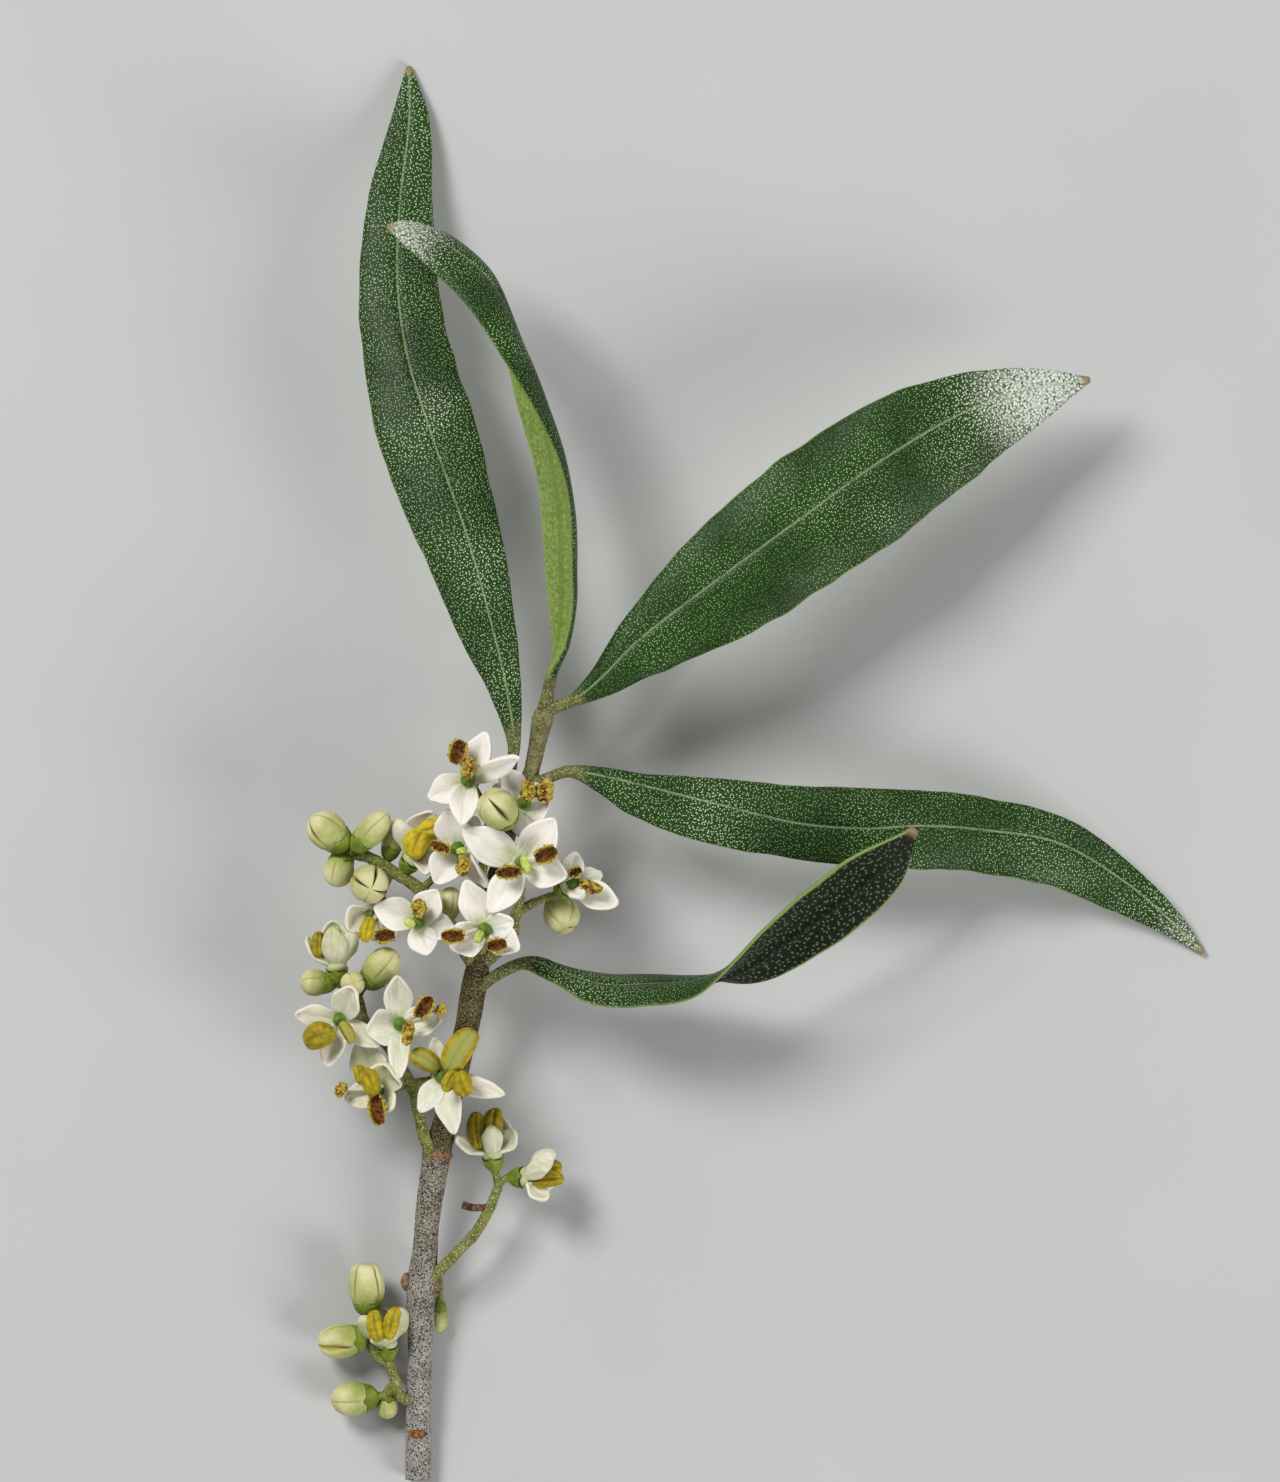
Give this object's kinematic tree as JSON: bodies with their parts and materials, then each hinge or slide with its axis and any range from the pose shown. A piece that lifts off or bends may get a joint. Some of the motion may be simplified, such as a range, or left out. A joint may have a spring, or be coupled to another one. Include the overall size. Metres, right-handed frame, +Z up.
{
  "type": "flowering olive branch",
  "caption": "Cut olive branch lying on its side, with long leathery leaves, sprays of small open four-petalled flowers and round closed buds along a thin woody stem.",
  "frame": {"origin": "middle of the lying branch's outline seen from above, on the table it lies on", "axes": "+Y along the branch from the cut end towards the leaf tips, +Z up from the table, +X to the right seen from above"},
  "size_m": [0.073, 0.1136, 0.0172],
  "materials": {
    "bark": "rough grey-brown bark with fine dark and pale flecks",
    "leaf": "deep green leathery leaf with fine white scale dots above, pale sage below",
    "stalk": "yellow-green flower stalks and calyx cups with a fine grain",
    "bud": "smooth waxy green-cream flower bud",
    "petal": "waxy white petals with golden and brown anthers"
  },
  "bodies": {
    "root": {"bud_1": "bud", "bud_10": "bud", "bud_11": "bud", "bud_12": "bud", "bud_13": "bud", "bud_14": "bud", "bud_15": "bud", "bud_16": "bud", "bud_2": "bud", "bud_3": "bud", "bud_4": "bud", "bud_5": "bud", "bud_6": "bud", "bud_7": "bud", "bud_8": "bud", "bud_9": "bud", "flower_1": "petal", "flower_10": "petal", "flower_11": "petal", "flower_12": "petal", "flower_13": "petal", "flower_14": "petal", "flower_15": "petal", "flower_16": "petal", "flower_17": "petal", "flower_2": "petal", "flower_3": "petal", "flower_4": "petal", "flower_5": "petal", "flower_6": "petal", "flower_7": "petal", "flower_8": "petal", "flower_9": "petal", "leaf_1": "leaf", "leaf_2": "leaf", "leaf_3": "leaf", "leaf_4": "leaf", "leaf_5": "leaf", "spray_front": "stalk", "spray_left": "stalk", "spray_low_back": "stalk", "spray_low_left": "stalk", "spray_low_right": "stalk", "spray_middle": "stalk", "spray_right": "stalk", "stem": "bark"}
  },
  "joints": []
}
